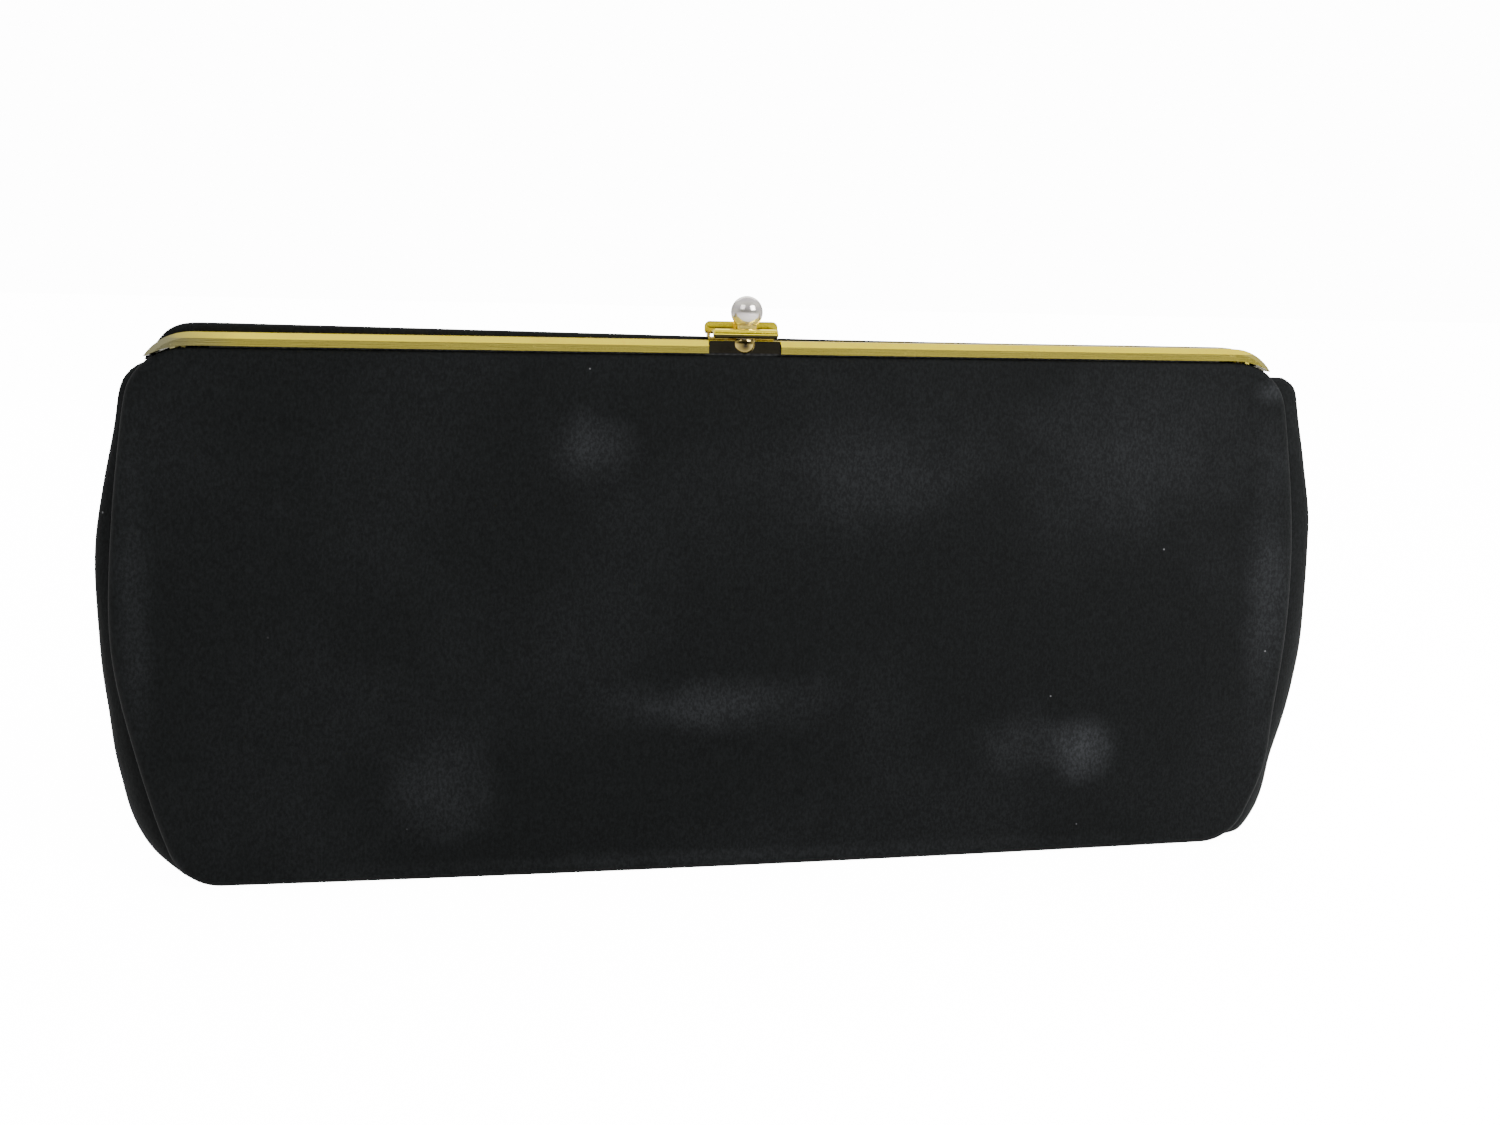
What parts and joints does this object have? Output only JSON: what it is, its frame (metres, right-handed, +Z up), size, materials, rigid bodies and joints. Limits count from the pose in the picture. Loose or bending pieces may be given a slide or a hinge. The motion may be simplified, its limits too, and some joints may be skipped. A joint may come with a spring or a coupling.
{
  "type": "clutch purse",
  "caption": "Flat black fabric clutch purse with padded panels, side gussets, a folding brass frame and a lift clasp topped by a pearl bead.",
  "frame": {"origin": "middle of the base, on the surface that the purse stands on", "axes": "+X along the purse, front panel faces -Y, +Z up from the base to the frame"},
  "size_m": [0.28, 0.028, 0.1274],
  "materials": {
    "crepe": "black crepe with a fine mottled grain",
    "greyboard": "matt",
    "wadding": "loose cotton wadding",
    "lining": "satin",
    "frame_brass": "brushed, gilt, lightly tarnished",
    "clasp_brass": "polished, gilt",
    "polished_plate": "mirror",
    "pearl": "pearl lustre",
    "tape": "plain cotton tape"
  },
  "bodies": {
    "back_half": {"back_board": "greyboard", "back_padding": "wadding", "back_cover": "crepe", "back_lining": "lining", "slip_pocket": "lining", "base_strip": "crepe", "base_board": "greyboard", "base_lining": "lining", "gusset_left": "crepe", "gusset_right": "crepe"},
    "back_frame": {"back_frame": "frame_brass", "back_frame_cover": "crepe", "back_channel_cord": "tape", "back_binding_tape": "tape", "clasp_bracket": "clasp_brass", "clasp_bracket_rivets": "clasp_brass", "clasp_pin": "clasp_brass", "hinge_rivet_left": "frame_brass", "hinge_rivet_right": "frame_brass"},
    "clasp": {"clasp_flap": "clasp_brass", "pearl": "pearl", "pearl_cup": "clasp_brass", "pearl_post": "clasp_brass"},
    "front_panel": {"front_board": "greyboard", "front_padding": "wadding", "front_cover": "crepe", "front_lining": "lining"},
    "front_frame": {"front_frame": "frame_brass", "front_binding_tape": "tape", "front_channel_cord": "tape", "catch_plate": "polished_plate", "catch_stud": "clasp_brass"}
  },
  "joints": [
    {"name": "body_open", "type": "hinge", "parent": "back_half", "child": "front_panel", "pos_m": [0, -0.0121, 0.0019], "axis": [1, 0, 0], "range_deg": [0, 16]},
    {"name": "front_frame_hinge", "type": "hinge", "parent": "front_panel", "child": "front_frame", "pos_m": [0, -0.0031, 0.1129], "axis": [1, 0, 0], "range_deg": [0, 17]},
    {"name": "back_frame_hinge", "type": "hinge", "parent": "back_half", "child": "back_frame", "pos_m": [0, 0.0031, 0.1129], "axis": [1, 0, 0], "range_deg": [-29, 0]},
    {"name": "clasp_lift", "type": "hinge", "parent": "back_frame", "child": "clasp", "pos_m": [0, 0.0026, 0.1199], "axis": [-1, 0, 0], "range_deg": [0, 105]}
  ],
  "couplings": [
    {"joint": "front_frame_hinge", "follows": "body_open", "ratio": 1.032},
    {"joint": "back_frame_hinge", "follows": "body_open", "ratio": -1.761}
  ]
}
